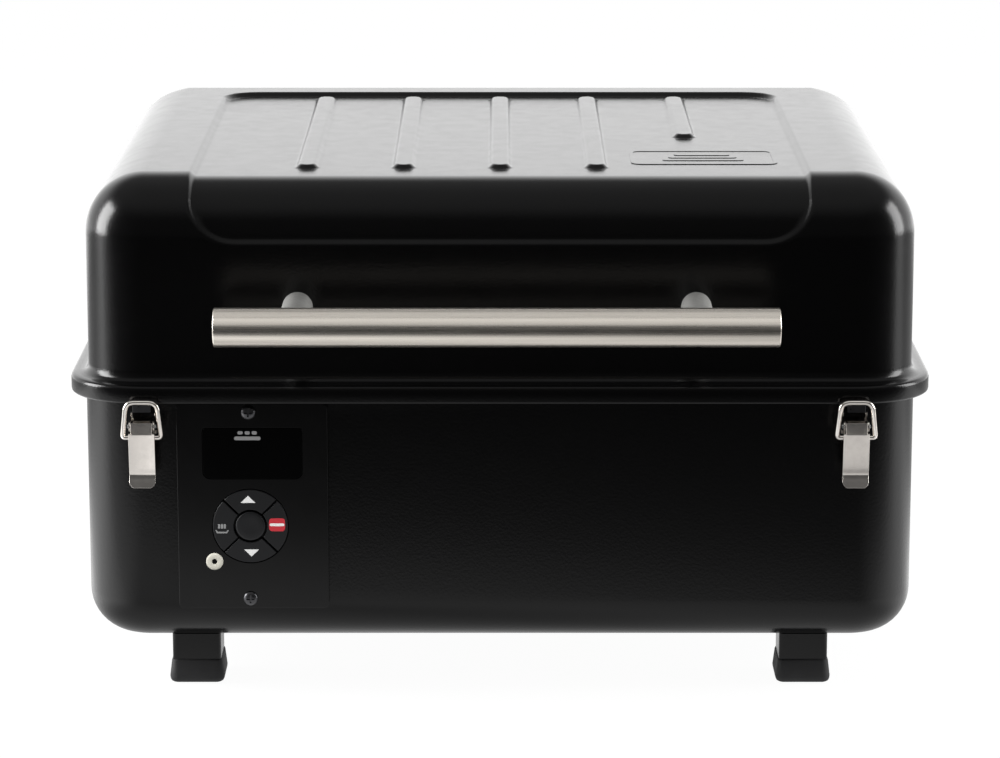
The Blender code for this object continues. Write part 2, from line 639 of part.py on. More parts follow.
def build_fire():
    centre, pot_in, skirt = (POT_X, AUGER_Y), POT_OUT - 2.0, FLOOR + 0.4
    profile = [(2.0, 50), (2.0, 48), (pot_in, 48), (pot_in, skirt), (POT_OUT, skirt),
               (POT_OUT, POT_TOP), (pot_in, POT_TOP), (pot_in, 50)]
    pot = add("fire_pot", ring("Z", centre, profile, 32), "steel")
    cut(pot, cylinder("X", (AUGER_Y, AUGER_Z), TUBE_OUT + 0.5, 20, 60, 24),
        cylinder("X", (AUGER_Y, 57), 4.6, 20, 60, 12))
    for hole in range(6):
        x = POT_X + (hole - 2.5) * 11
        cut(pot, cylinder("Y", (x, 66), 2.6, AUGER_Y - 60, AUGER_Y + 60, 8))
    add("igniter_rod", cylinder("X", (AUGER_Y, 57), 4.0, -30, 52, 14), "steel")
    legs = [(112, skirt), (113.5, skirt), (113.5, 124), (326.5, 124), (326.5, skirt),
            (328, skirt), (328, 125.5), (112, 125.5)]
    add("heat_baffle", prism("X", legs, 5, 155), "steel")


def build_fan():
    x, y = FAN
    block = box((x - FAN_HALF, x + FAN_HALF), (y - FAN_HALF, y + FAN_HALF), FAN_Z)
    housing = add("fan_housing", block, "plastic")
    cut(housing, cylinder("Z", FAN, 27, FAN_Z[0] + 2.5, 70, 28))
    corners = [(dx, dy) for dx in (-12, 12) for dy in (-12, 12)]
    cut(housing, *[cylinder("Z", (x + dx, y + dy), 8.5, 30, 50, 16) for dx, dy in corners])
    rotor = add("fan_rotor", cylinder("Z", FAN, 10, 43.5, 58, 20), "plastic", (x, y, FAN_Z[0]))
    for blade in range(5):
        points, faces = box((8, 25.5), (-0.9, 0.9), (-5.5, 5.5))
        turn = Matrix.Rotation(2 * pi * blade / 5, 3, "Z") @ Matrix.Rotation(radians(35), 3, "X")
        placed = [tuple(turn @ Vector(point) + Vector((x, y, 50.7))) for point in points]
        join(rotor, (placed, faces))


def build_cooking():
    def pan(inset, z):
        plan = rounded((-89 + inset, 34 + inset), (252 - inset, 406 - inset), 20 - inset, 4)
        return [(x, y, z) for x, y in plan]

    sheet = 1.5
    tray = add("drip_tray", loft([pan(3, TRAY_Z[0]), pan(0, TRAY_Z[1]), pan(sheet, TRAY_Z[1]),
                                  pan(3 + sheet, TRAY_Z[0] + sheet)]), "steel")
    cut(tray, cylinder("Z", (225, 380), 8, 120, 130, 16))
    bars, bar = 17, 6.0
    pitch = (GRATE_X[1] - GRATE_X[0] - bar) / (bars - 1)
    columns = [GRATE_X[0] + index * pitch + edge for index in range(bars) for edge in (0, bar)]
    rows = [GRATE_Y[0], GRATE_Y[0] + 10]
    for cross in (1, 2):
        middle = GRATE_Y[0] + (GRATE_Y[1] - GRATE_Y[0]) * cross / 3
        rows += [middle - 4, middle + 4]
    rows += [GRATE_Y[1] - 10, GRATE_Y[1]]
    grate = lattice(columns, rows, GRATE_Z, lambda column, row: column % 2 == 1 and row % 2 == 1)
    add("cooking_grate", grate, "iron", (80, AUGER_Y, GRATE_Z[0]))


def main():
    for old in list(bpy.data.objects):
        bpy.data.objects.remove(old, do_unlink=True)
    build_lid()
    build_handle()
    build_hinges()
    build_latches()
    build_base()
    build_feet()
    build_back()
    build_controls()
    build_hopper()
    build_partition()
    build_auger()
    build_fire()
    build_fan()
    build_cooking()


main()
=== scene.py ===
"""Looks of the portable pellet smoker grill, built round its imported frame."""
import bpy
import bmesh
import json
from math import asin, cos, exp, hypot, pi, radians, sin
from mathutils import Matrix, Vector

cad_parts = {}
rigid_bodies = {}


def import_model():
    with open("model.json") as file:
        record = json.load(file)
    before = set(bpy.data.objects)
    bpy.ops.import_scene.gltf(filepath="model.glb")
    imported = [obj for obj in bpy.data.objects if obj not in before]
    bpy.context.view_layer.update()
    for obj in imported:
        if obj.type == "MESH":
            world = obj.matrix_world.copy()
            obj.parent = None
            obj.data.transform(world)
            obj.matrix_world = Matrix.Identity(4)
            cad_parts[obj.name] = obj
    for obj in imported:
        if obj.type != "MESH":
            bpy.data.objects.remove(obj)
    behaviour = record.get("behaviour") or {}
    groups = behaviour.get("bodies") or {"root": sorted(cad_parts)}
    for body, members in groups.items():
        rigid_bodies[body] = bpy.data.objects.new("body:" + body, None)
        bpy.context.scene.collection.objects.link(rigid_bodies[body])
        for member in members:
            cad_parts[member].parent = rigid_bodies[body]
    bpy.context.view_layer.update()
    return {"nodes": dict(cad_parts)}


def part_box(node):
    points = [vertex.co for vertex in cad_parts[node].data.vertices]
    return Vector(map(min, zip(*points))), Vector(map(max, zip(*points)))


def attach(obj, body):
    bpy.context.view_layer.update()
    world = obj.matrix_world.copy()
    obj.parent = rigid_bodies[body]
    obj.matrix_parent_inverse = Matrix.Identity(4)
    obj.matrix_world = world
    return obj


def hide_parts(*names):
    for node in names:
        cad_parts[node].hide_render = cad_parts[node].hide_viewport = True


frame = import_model()

# ---------------------------------------------------------------- frame sizes, in millimetres
# x runs right from the centre plane, y back from the rim's front edge, z up from the ground.
MM = 0.001
LID_LO, LID_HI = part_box("lid_shell")
RIM_FRONT = LID_LO.y
HALF_W = LID_HI.x / MM
RIM_DEPTH = (LID_HI.y - LID_LO.y) / MM
HEIGHT = LID_HI.z / MM
LIP_BOTTOM = LID_LO.z / MM


def span(node, axis):
    """Lowest and highest value of a CAD node along an axis, in this script's millimetres."""
    lo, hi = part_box(node)
    shift = RIM_FRONT if axis == 1 else 0.0
    return (lo[axis] - shift) / MM, (hi[axis] - shift) / MM


def middle(node, axis):
    return sum(span(node, axis)) / 2


def half_span(node, axis):
    lo, hi = span(node, axis)
    return (hi - lo) / 2


GAP = 0.35                  # free gap between pieces that touch
SKIN = 1.6                  # sheet thickness
WALL_INSET = 11.0           # the shells' walls stand this far inside the rim
WALL_BACK = RIM_DEPTH - WALL_INSET
RIM_CORNER = 49.0           # plan radius of the rim's corners
CROWN_R = 38.0              # rounding between the lid's walls and its top
CROWN_INSET = WALL_INSET + CROWN_R
CROWN_Z = HEIGHT - CROWN_R
BACK_CROWN = 0.66           # the rear top edge is tighter by this factor


# ---------------------------------------------------------------- materials

class Nodes:
    """Short ways to wire a node tree."""

    def __init__(self, tree):
        self.tree = tree

    def node(self, kind, **settings):
        made = self.tree.nodes.new(kind)
        for key, value in settings.items():
            if key in made.inputs:
                made.inputs[key].default_value = value
            else:
                setattr(made, key, value)
        return made

    def link(self, out, into):
        self.tree.links.new(out, into)

    def split(self, vector):
        made = self.node("ShaderNodeSeparateXYZ")
        self.link(vector, made.inputs[0])
        return made.outputs

    def math(self, operation, *operands):
        """A maths node. Each operand is a number or a socket."""
        made = self.node("ShaderNodeMath", operation=operation)
        for socket, operand in zip(made.inputs, operands):
            if isinstance(operand, float):
                socket.default_value = operand
            else:
                self.link(operand, socket)
        return made.outputs[0]

    def spread(self, source, low, high, start=0.3, end=0.7, shape="LINEAR"):
        """Turns start to end in the source into low to high."""
        made = self.node("ShaderNodeMapRange", interpolation_type=shape)
        for key, value in (("From Min", start), ("From Max", end), ("To Min", low), ("To Max", high)):
            made.inputs[key].default_value = value
        self.link(source, made.inputs["Value"])
        return made.outputs["Result"]

    def curve(self, source, stops, brightest=2.5):
        """A level read off (place, level) stops, with straight lines between them."""
        first, last = stops[0][0], stops[-1][0]
        levels = self.node("ShaderNodeValToRGB")
        elements = levels.color_ramp.elements
        for place, level in stops[1:-1]:
            elements.new((place - first) / (last - first))
        for element, (place, level) in zip(elements, stops):
            element.color = (level / brightest, level / brightest, level / brightest, 1)
        self.link(self.spread(source, 0.0, 1.0, first, last), levels.inputs["Fac"])
        return self.math("MULTIPLY", levels.outputs["Color"], brightest)

    def finish(self, output, lighting, seen):
        """Sends one shader to the camera and another to reflections and light."""
        blend = self.node("ShaderNodeMixShader")
        self.link(self.node("ShaderNodeLightPath").outputs["Is Camera Ray"], blend.inputs["Fac"])
        self.link(lighting, blend.inputs[1])
        self.link(seen, blend.inputs[2])
        self.link(blend.outputs[0], self.node(output).inputs["Surface"])


class Shader(Nodes):
    """A Principled material with a few short ways to add procedural detail."""

    def __init__(self, name, colour, roughness, metallic=0.0, **sockets):
        self.material = bpy.data.materials.new(name)
        self.material.use_nodes = True
        super().__init__(self.material.node_tree)
        self.principled = self.tree.nodes["Principled BSDF"]
        self.set("Base Color", (*colour, 1.0))
        self.set("Roughness", roughness)
        self.set("Metallic", metallic)
        for socket, value in sockets.items():
            self.set(socket, value)
        self.coordinates = self.node("ShaderNodeTexCoord").outputs

    def set(self, socket, value):
        self.principled.inputs[socket].default_value = value

    def stretched(self, scale):
        mapping = self.node("ShaderNodeMapping", Scale=scale)
        self.link(self.coordinates["Object"], mapping.inputs["Vector"])
        return mapping.outputs["Vector"]

    def noise(self, scale, detail=3.0, roughness=0.55, stretch=(1, 1, 1)):
        made = self.node("ShaderNodeTexNoise", Scale=scale, Detail=detail, Roughness=roughness)
        self.link(self.stretched(stretch), made.inputs["Vector"])
        return made.outputs["Fac"]

    def cells(self, scale):
        made = self.node("ShaderNodeTexVoronoi", Scale=scale)
        self.link(self.coordinates["Object"], made.inputs["Vector"])
        return made.outputs

    def vary_roughness(self, source, low, high):
        self.link(self.spread(source, low, high), self.principled.inputs["Roughness"])

    def vary_colour(self, source, dark, light, start=0.3, end=0.7):
        mix = self.node("ShaderNodeMix", data_type="RGBA")
        for socket in mix.inputs:
            if socket.type == "RGBA":
                socket.default_value = (*(dark if socket.name == "A" else light), 1.0)
        self.link(self.spread(source, 0.0, 1.0, start, end), mix.inputs["Factor"])
        colour = [out for out in mix.outputs if out.type == "RGBA"][0]
        self.link(colour, self.principled.inputs["Base Color"])

    def bump(self, source, depth, strength):
        """Relief of a depth in millimetres."""
        made = self.node("ShaderNodeBump", Strength=strength, Distance=depth * MM)
        self.link(source, made.inputs["Height"])
        self.link(made.outputs["Normal"], self.principled.inputs["Normal"])


def black_coat():
    """Baked powder coat: gloss black over a fine orange-peel relief, which flowed out on level faces."""
    made = Shader("black_coat", (0.0018, 0.0017, 0.0019), 0.2, IOR=1.36)
    upright = made.spread(made.split(made.coordinates["Normal"])["Z"], 1.0, 0.12, 0.3, 0.8)
    made.bump(made.math("MULTIPLY", made.noise(620.0, 2.0, 0.5), upright), 0.08, 0.9)
    made.vary_roughness(made.noise(90.0, 2.0), 0.19, 0.215)
    return made.material


def brushed(name, colour, along, roughness):
    """Ground metal: fine streaks along one axis."""
    made = Shader(name, colour, 0.28, 1.0)
    stretch = tuple(0.012 if axis == along else 1.0 for axis in "XYZ")
    streaks = made.noise(2600.0, 4.0, 0.6, stretch)
    made.vary_roughness(streaks, *roughness)
    made.vary_colour(streaks, [c * 0.88 for c in colour], colour)
    made.bump(made.noise(3400.0, 3.0, 0.6, stretch), 0.01, 0.6)
    return made.material


def plated(name, colour, roughness):
    """Satin plating: soft cloudy gloss with very fine grain."""
    made = Shader(name, colour, 0.2, 1.0)
    made.vary_roughness(made.noise(260.0, 4.0), *roughness)
    made.vary_colour(made.noise(90.0, 3.0), [c * 0.9 for c in colour], colour)
    made.bump(made.noise(1800.0, 2.0), 0.008, 0.5)
    return made.material


def moulded(name, colour, roughness, grain, scale, ior=1.46):
    """Moulded plastic or rubber with a fine leathery grain."""
    made = Shader(name, colour, sum(roughness) / 2, IOR=ior)
    made.vary_roughness(made.noise(60.0, 3.0), *roughness)
    made.vary_colour(made.noise(30.0, 2.0), [c * 0.85 for c in colour], [c * 1.1 for c in colour])
    made.bump(made.cells(scale)["Distance"], grain, 0.6)
    return made.material


def galvanised():
    """Zinc-coated sheet with a faint spangle."""
    made = Shader("galvanised", (0.42, 0.43, 0.44), 0.35, 1.0)
    made.vary_roughness(made.noise(45.0, 3.0), 0.35, 0.4)
    tone = made.node("ShaderNodeSeparateColor")
    made.link(made.cells(150.0)["Color"], tone.inputs["Color"])
    made.vary_colour(tone.outputs["Red"], (0.40, 0.41, 0.42), (0.46, 0.47, 0.48), 0.0, 1.0)
    made.bump(made.noise(700.0, 2.0), 0.01, 0.4)
    return made.material


def cast_iron():
    """Seasoned iron: dark, oily and pitted."""
    made = Shader("cast_iron", (0.03, 0.027, 0.025), 0.5, 0.3)
    made.vary_roughness(made.noise(120.0, 4.0), 0.38, 0.62)
    made.vary_colour(made.noise(80.0, 4.0), (0.018, 0.017, 0.016), (0.05, 0.043, 0.038))
    made.bump(made.noise(900.0, 4.0, 0.7), 0.12, 0.7)
    return made.material


def cast_metal(name, colour):
    """Bead-blasted cast metal: a satin skin that scatters most of the light."""
    made = Shader(name, colour, 0.4, 0.35)
    made.vary_roughness(made.noise(300.0, 3.0), 0.34, 0.46)
    made.vary_colour(made.noise(150.0, 3.0, 0.55, (1, 1, 0.1)), [c * 0.9 for c in colour], colour)
    made.bump(made.noise(2200.0, 2.0), 0.006, 0.5)
    return made.material


def printed(name, colour):
    """Screen-printed ink with a slight tooth."""
    made = Shader(name, colour, 0.5)
    made.vary_colour(made.noise(900.0, 2.0), [c * 0.92 for c in colour], colour)
    made.bump(made.noise(2400.0, 2.0), 0.01, 0.4)
    return made.material


LOOKS = {
    "black_coat": black_coat(),
    "stainless": brushed("stainless", (0.76, 0.71, 0.64), "X", (0.22, 0.32)),
    "nickel": plated("nickel", (0.78, 0.735, 0.69), (0.15, 0.21)),
    "post": cast_metal("post", (0.22, 0.218, 0.21)),
    "dark_metal": plated("dark_metal", (0.10, 0.10, 0.105), (0.25, 0.4)),
    "steel": galvanised(),
    "rubber": moulded("rubber", (0.018, 0.018, 0.019), (0.6, 0.8), 0.05, 900.0),
    "panel": moulded("panel", (0.0019, 0.0018, 0.002), (0.18, 0.22), 0.004, 1800.0, 1.38),
    "button": moulded("button", (0.011, 0.0115, 0.0135), (0.42, 0.5), 0.012, 1800.0),
    "cream": moulded("cream", (0.62, 0.60, 0.52), (0.35, 0.45), 0.004, 1800.0),
    "plastic": moulded("plastic", (0.022, 0.022, 0.023), (0.45, 0.6), 0.03, 1200.0),
    "silicone": moulded("silicone", (0.05, 0.05, 0.052), (0.6, 0.75), 0.02, 1500.0),
    "screen": moulded("screen", (0.001, 0.001, 0.0011), (0.04, 0.07), 0.0005, 300.0, 1.22),
    "iron": cast_iron(),
    "white_print": printed("white_print", (0.80, 0.80, 0.79)),
    "faint_print": printed("faint_print", (0.26, 0.26, 0.26)),
    "red_print": printed("red_print", (0.52, 0.022, 0.035)),
}


# ---------------------------------------------------------------- outlines and solids

def arc(centre, radius, start, end, steps):
    """Points on an arc between two angles in degrees, both ends included."""
    return [(centre[0] + radius * cos(radians(start + (end - start) * step / steps)),
             centre[1] + radius * sin(radians(start + (end - start) * step / steps)))
            for step in range(steps + 1)]


def circle(centre, radius, segments=48):
    return arc(centre, radius, 0, 360 - 360 / segments, segments - 1)


def rounded(lo, hi, radii, steps=6):
    """A rectangle with one radius, or one per corner from low-low round to low-high."""
    corners = [(lo[0], lo[1], 1, 1), (hi[0], lo[1], -1, 1), (hi[0], hi[1], -1, -1), (lo[0], hi[1], 1, -1)]
    points = []
    for index, (x, y, dx, dy) in enumerate(corners):
        radius = radii[index] if isinstance(radii, (tuple, list)) else radii
        centre = (x + dx * radius, y + dy * radius)
        points += arc(centre, radius, 180 + 90 * index, 270 + 90 * index, steps) if radius else [(x, y)]
    return points


def lift(axis, point, height):
    u, v = point
    return {"X": (height, u, v), "Y": (u, height, v), "Z": (u, v, height)}[axis]


def loft(rings, caps=True):
    """A skin through rings with equal point counts."""
    count = len(rings[0])
    points = [point for ring in rings for point in ring]
    faces = []
    for row in range(len(rings) - 1):
        for step in range(count):
            after = (step + 1) % count
            low, high = row * count, (row + 1) * count
            faces.append((low + step, low + after, high + after, high + step))
    if caps:
        faces.append(tuple(range(count))[::-1])
        faces.append(tuple(range(len(points) - count, len(points))))
    return points, faces


def prism(axis, outline, lo, hi):
    return loft([[lift(axis, point, height) for point in outline] for height in (lo, hi)])


def turned(axis, centre, profile, segments=48):
    """A turned solid: profile is (radius, height) from one end to the other."""
    return loft([[lift(axis, point, height) for point in circle(centre, max(radius, 0.01), segments)]
                 for radius, height in profile])


def block(x, y, z):
    return prism("Z", [(x[0], y[0]), (x[1], y[0]), (x[1], y[1]), (x[0], y[1])], z[0], z[1])


def together(*shapes):
    points, faces = [], []
    for shape_points, shape_faces in shapes:
        start = len(points)
        points += shape_points
        faces += [tuple(start + index for index in face) for face in shape_faces]
    return points, faces


def smooth_path(points, steps=8):
    """A Catmull-Rom curve through points."""
    padded = [points[0]] + list(points) + [points[-1]]
    made = []
    for a, b, c, d in zip(padded, padded[1:], padded[2:], padded[3:]):
        a, b, c, d = Vector(a), Vector(b), Vector(c), Vector(d)
        for step in range(steps):
            t = step / steps
            made.append(0.5 * (2 * b + (c - a) * t + (2 * a - 5 * b + 4 * c - d) * t * t
                               + (3 * b - a - 3 * c + d) * t ** 3))
    return made + [Vector(points[-1])]


def filleted(path, radius, steps=6):
    """A path of straight runs with its corners rounded."""
    made = [Vector(path[0])]
    for before, corner, after in zip(path, path[1:], path[2:]):
        before, corner, after = Vector(before), Vector(corner), Vector(after)
        back, on = (before - corner).normalized(), (after - corner).normalized()
        reach = min(radius, (before - corner).length * 0.49, (after - corner).length * 0.49)
        for step in range(steps + 1):
            t = step / steps
            start, end = corner + back * reach, corner + on * reach
            made.append((1 - t) ** 2 * start + 2 * t * (1 - t) * corner + t * t * end)
    return made + [Vector(path[-1])]


def rod(path, radius, sides=14):
    """A round bar along a path, with its section carried along without twist."""
    rings, side = [], None
    for index, point in enumerate(path):
        along = (path[min(index + 1, len(path) - 1)] - path[max(index - 1, 0)]).normalized()
        if side is None:
            side = along.orthogonal().normalized()
        side = (side - along * side.dot(along)).normalized()
        other = along.cross(side)
        rings.append([tuple(point + radius * (side * cos(turn) + other * sin(turn)))
                      for turn in (2 * pi * step / sides for step in range(sides))])
    return loft(rings)


# ---------------------------------------------------------------- pieces

def world(point):
    return Vector((point[0] * MM, RIM_FRONT + point[1] * MM, point[2] * MM))


def bevel(obj, width, segments=3, angle=35):
    made = obj.modifiers.new("bevel", "BEVEL")
    made.width = width * MM
    made.segments = segments
    made.limit_method = "ANGLE"
    made.angle_limit = radians(angle)
    made.harden_normals = False
    made.use_clamp_overlap = True
    weighted = obj.modifiers.new("normals", "WEIGHTED_NORMAL")
    weighted.keep_sharp = True
    return obj


def new_object(name, shape, clean=True):
    """An object from a shape in millimetres, with its faces turned outward."""
    points, faces = shape
    mesh = bpy.data.meshes.new(name)
    mesh.from_pydata([world(point) for point in points], [], faces)
    work = bmesh.new()
    work.from_mesh(mesh)
    if clean:
        bmesh.ops.remove_doubles(work, verts=work.verts, dist=1e-6)
        bmesh.ops.dissolve_degenerate(work, dist=1e-7, edges=work.edges)
    bmesh.ops.recalc_face_normals(work, faces=work.faces)
    work.to_mesh(mesh)
    work.free()
    made = bpy.data.objects.new(name, mesh)
    bpy.context.scene.collection.objects.link(made)
    return made


def piece(name, shape, look, body, replaces=(), edge=0.0, sharp=40):
    """One visible piece from a shape in millimetres, riding on a body."""
    made = new_object(name, shape)
    mesh = made.data
    mesh.shade_smooth()
    mesh.materials.append(LOOKS[look])
    if edge:
        bevel(made, edge)
    else:
        mesh.set_sharp_from_angle(angle=radians(sharp))
    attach(made, body)
    if replaces:
        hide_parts(*replaces)
    return made


def cutter(target, shape):
    tool = new_object("cutter", shape, clean=False)
    cut = target.modifiers.new("cut", "BOOLEAN")
    cut.operation = "DIFFERENCE"
    cut.object = tool
    return tool


def apply_all(obj, *tools):
    """Fix an object's modifiers into its mesh and drop the tools they used."""
    graph = bpy.context.evaluated_depsgraph_get()
    graph.update()
    mesh = bpy.data.meshes.new_from_object(obj.evaluated_get(graph))
    obj.modifiers.clear()
    obj.data = mesh
    for tool in tools:
        bpy.data.objects.remove(tool, do_unlink=True)


def keep(node, look, edge=0.3, segments=2):
    """A CAD node whose shape is right: a better material and softened edges."""
    obj = frame["nodes"][node]
    obj.data.materials.clear()
    obj.data.materials.append(LOOKS[look])
    if "custom_normal" in obj.data.attributes:
        obj.data.attributes.remove(obj.data.attributes["custom_normal"])
    obj.data.shade_smooth()
    weld = obj.modifiers.new("weld", "WELD")
    weld.merge_threshold = 0.00002
    flat = obj.modifiers.new("flat", "DECIMATE")
    flat.decimate_type = "DISSOLVE"
    flat.angle_limit = radians(1.0)
    bevel(obj, edge, segments)
    return obj


# ---------------------------------------------------------------- body outline

def ring(inset, z, xs, ys, corner_steps, side=0.0, tight=1.0):
    """A level loop round the body, at an inset from the rim's edge. Its straight parts keep xs and ys.

    side moves the two side walls out, and tight shortens the rounding at the back."""
    radius = RIM_CORNER - inset
    inset_back = inset if inset <= WALL_INSET else WALL_INSET + (inset - WALL_INSET) * tight
    depth = RIM_CORNER - inset_back
    x_in, y_low, y_high = HALF_W - RIM_CORNER, RIM_CORNER, RIM_DEPTH - RIM_CORNER
    edge = HALF_W - inset + side

    def corner(sx, y, ry, start):
        return [(sx * (x_in + abs(cos(radians(turn))) * (radius + side)), y + sin(radians(turn)) * ry)
                for turn in (start + 90 * step / corner_steps for step in range(1, corner_steps))]

    loop = [(x, inset) for x in xs]
    loop += corner(1, y_low, radius, -90)
    loop += [(edge, y) for y in ys if y <= y_high + 1e-6]
    loop += corner(1, y_high, depth, 0)
    loop += [(x, RIM_DEPTH - inset_back) for x in reversed(xs)]
    loop += corner(-1, y_high, depth, 90)
    loop += [(-edge, y) for y in reversed(ys) if y <= y_high + 1e-6]
    loop += corner(-1, y_low, radius, 180)
    return [(x, y, z) for x, y in loop]


def lines(start, end, coarse, dense):
    """Grid lines from start to end: coarse steps, with (low, high, step) stretches of finer ones."""
    made, here = [start], start
    while here < end - 1e-6:
        step = coarse
        for low, high, fine in dense:
            if low - 1e-6 <= here < high - 1e-6:
                step = min(step, fine)
            elif here < low < here + step:
                step = low - here
        here = min(here + step, end)
        made.append(here)
    return made


# ---------------------------------------------------------------- lid

# The stamped panel and its ribs. t runs back along the sheet from the crown's upper edge.
PANEL_HALF = 194.5
PANEL_DEPTH = 3.0
PANEL_T = (-(CROWN_R * pi / 2) - 2.5, 335.0)
PANEL_WALL = 4.2               # width of the step down to the panel
PANEL_CORNERS = (30.0, 25.0)   # front and back
RIB_XS = [-122.0, -61.0, 0.0, 61.0, 122.0]
RIB_HALF = 8.0
RIB_HIGH = 2.6
RIB_EDGE = 3.8                 # width of a rib's slope
RIB_FRONT_T = 22.0
SHORT_RIB_FRONT_T = 144.0      # the right-hand rib stops short of the badge
RIB_BACK_T = 320.0


def soft(value):
    value = min(max(value, 0.0), 1.0)
    return value * value * (3 - 2 * value)


def inside_panel(x, t):
    """Distance inside the stamped panel's rounded outline, or outside it if negative."""
    middle_t, half_t = sum(PANEL_T) / 2, (PANEL_T[1] - PANEL_T[0]) / 2
    radius = PANEL_CORNERS[t >= middle_t]
    dx, dt = abs(x) - (PANEL_HALF - radius), abs(t - middle_t) - (half_t - radius)
    return radius - (hypot(max(dx, 0), max(dt, 0)) + min(max(dx, dt), 0))


def sink(x, t):
    """How far the lid's sheet is pressed in at a place."""
    depth = PANEL_DEPTH * soft(inside_panel(x, t) / PANEL_WALL)
    if depth <= 0:
        return 0.0
    for index, centre in enumerate(RIB_XS):
        front = RIB_FRONT_T if index < 4 else SHORT_RIB_FRONT_T
        low, high = front + RIB_HALF, RIB_BACK_T - RIB_HALF
        away = hypot(x - centre, t - min(max(t, low), high))
        depth -= RIB_HIGH * soft((RIB_HALF - away) / RIB_EDGE)
    return depth


def lid_sheet():
    """The lid's outer skin, from the lip's lower edge over the crown to the flat top."""
    flat_half = HALF_W - RIM_CORNER
    # finer grid lines where the sheet bends: the panel's edges and the ribs
    dense = [(-198, -188, 1.0), (-188, -162, 2.4), (162, 188, 2.4), (188, 198, 1.0)]
    dense += [(centre - 9.5, centre + 9.5, 0.95) for centre in RIB_XS]
    xs = lines(-flat_half, flat_half, 9.0, dense)
    y_dense = [(66, 82, 1.2), (188, 204, 1.2), (354, 388, 1.2)]
    ys = lines(RIM_CORNER, RIM_DEPTH - RIM_CORNER, 11.0, y_dense)
    corner_steps = 14
    extra = (1 - BACK_CROWN) * CROWN_R
    # (inset, height) up the rolled edge, from the lip to the foot of the wall
    rim = [(SKIN, LIP_BOTTOM), (0.9, LIP_BOTTOM + 0.1), (0.25, LIP_BOTTOM + 0.6), (0, LIP_BOTTOM + 1.5),
           (0, 199.9), (0.25, 201.0), (0.9, 201.9), (2.0, 202.4), (4.5, 202.6), (7.0, 203.0), (8.9, 203.9),
           (10.2, 205.3), (10.85, 207.3), (WALL_INSET, 210.0)]
    rows = [(inset, z, 90.0) for inset, z in rim]
    rows += [(WALL_INSET, 250.0, 90.0), (WALL_INSET, CROWN_Z - 8, 90.0)]
    rows += [(WALL_INSET, CROWN_Z - 7 + step * 0.875, 90.0) for step in range(9)]
    crown_steps = 46
    for step in range(1, crown_steps + 1):
        angle = 90.0 * (1 - step / crown_steps)
        rows.append((CROWN_INSET - CROWN_R * sin(radians(angle)),
                     CROWN_Z + CROWN_R * cos(radians(angle)), angle))
    rings = []
    for inset, z, angle in rows:
        loop = ring(inset, z, xs, ys, corner_steps, tight=BACK_CROWN)
        if z >= CROWN_Z - 8:
            slope = radians(angle)
            t = -CROWN_R * slope - max(CROWN_Z - z, 0)
            for index, x in enumerate(xs):
                depth = sink(x, t)
                loop[index] = (x, inset + depth * sin(slope), z - depth * cos(slope))
        rings.append(loop)
    points, faces = loft(rings, caps=False)
    start = len(points)
    flat_ys = ys + [ys[-1] + extra * sin(radians(90 * step / corner_steps))
                    for step in range(1, corner_steps + 1)]
    points += [(x, y, HEIGHT - sink(x, y - RIM_CORNER)) for y in flat_ys for x in xs]
    width = len(xs)
    for row in range(len(flat_ys) - 1):
        for column in range(width - 1):
            corner = start + row * width + column
            faces.append((corner, corner + 1, corner + width + 1, corner + width))
    return points, faces


def build_lid():
    lid = piece("lid_skin", lid_sheet(), "black_coat", "lid", ["lid_shell"], sharp=60)
    shell = lid.modifiers.new("thickness", "SOLIDIFY")
    shell.thickness = SKIN * MM
    shell.offset = -1.0
    floor_z = HEIGHT - PANEL_DEPTH
    # a plain raised frame with three bars in it
    plate = rounded((83.5, 90), (177, 143), 7, 6)
    hole = rounded((86, 92.5), (174.5, 140.5), 5, 6)
    rings = [[(x, y, z) for x, y in outline] for outline, z in
             ((plate, floor_z - 0.2), (plate, floor_z + 0.4), (hole, floor_z + 0.4), (hole, floor_z + 0.1))]
    bars = [prism("Z", rounded((104 + 4 * row, 104 + 10 * row), (156 - 4 * row, 110 + 10 * row), 3, 5),
                  floor_z - 0.2, floor_z + 0.45) for row in range(3)]
    piece("lid_badge", together(loft(rings), *bars), "black_coat", "lid", edge=0.25)
    keep("lid_gasket", "silicone", 0.4)


# ---------------------------------------------------------------- handle

def build_handle():
    y, z = middle("handle_bar", 1), middle("handle_bar", 2)
    centre, half = middle("handle_bar", 0), half_span("handle_bar", 0)
    radius = half_span("handle_bar", 2)
    edge = 0.9
    profile = [(0.02, -half)]
    for turn in (0, 22, 45, 67, 90):
        profile.append((radius - edge + edge * sin(radians(turn)), -half + edge * (1 - cos(radians(turn)))))
    stations = 24
    inner = [(radius, -half + 2 + (2 * half - 4) * step / stations) for step in range(stations + 1)]
    profile += inner + [(r, -x) for r, x in reversed(profile)]
    profile = [(r, centre + x) for r, x in profile]
    piece("handle_tube", turned("X", (y, z), profile, 96), "stainless", "lid", ["handle_bar"], sharp=50)
    for side, label in ((-1, "left"), (1, "right")):
        node = f"handle_standoff_{label}"
        x = middle(node, 0)
        reach = half_span(node, 0)
        rings = []
        for step in range(9):
            share = step / 8
            loop = []
            for px, pz in circle((x, z), reach, 48):
                saddle = y + (radius ** 2 - (pz - z) ** 2) ** 0.5 - 0.05
                loop.append((px, WALL_INSET + (saddle - WALL_INSET) * share, pz))
            rings.append(loop)
        piece(f"handle_post_{label}", loft(rings), "post", "lid", [node], sharp=35)
        keep(f"handle_screw_{label}", "steel", 0.3)


# ---------------------------------------------------------------- hinges and back fittings

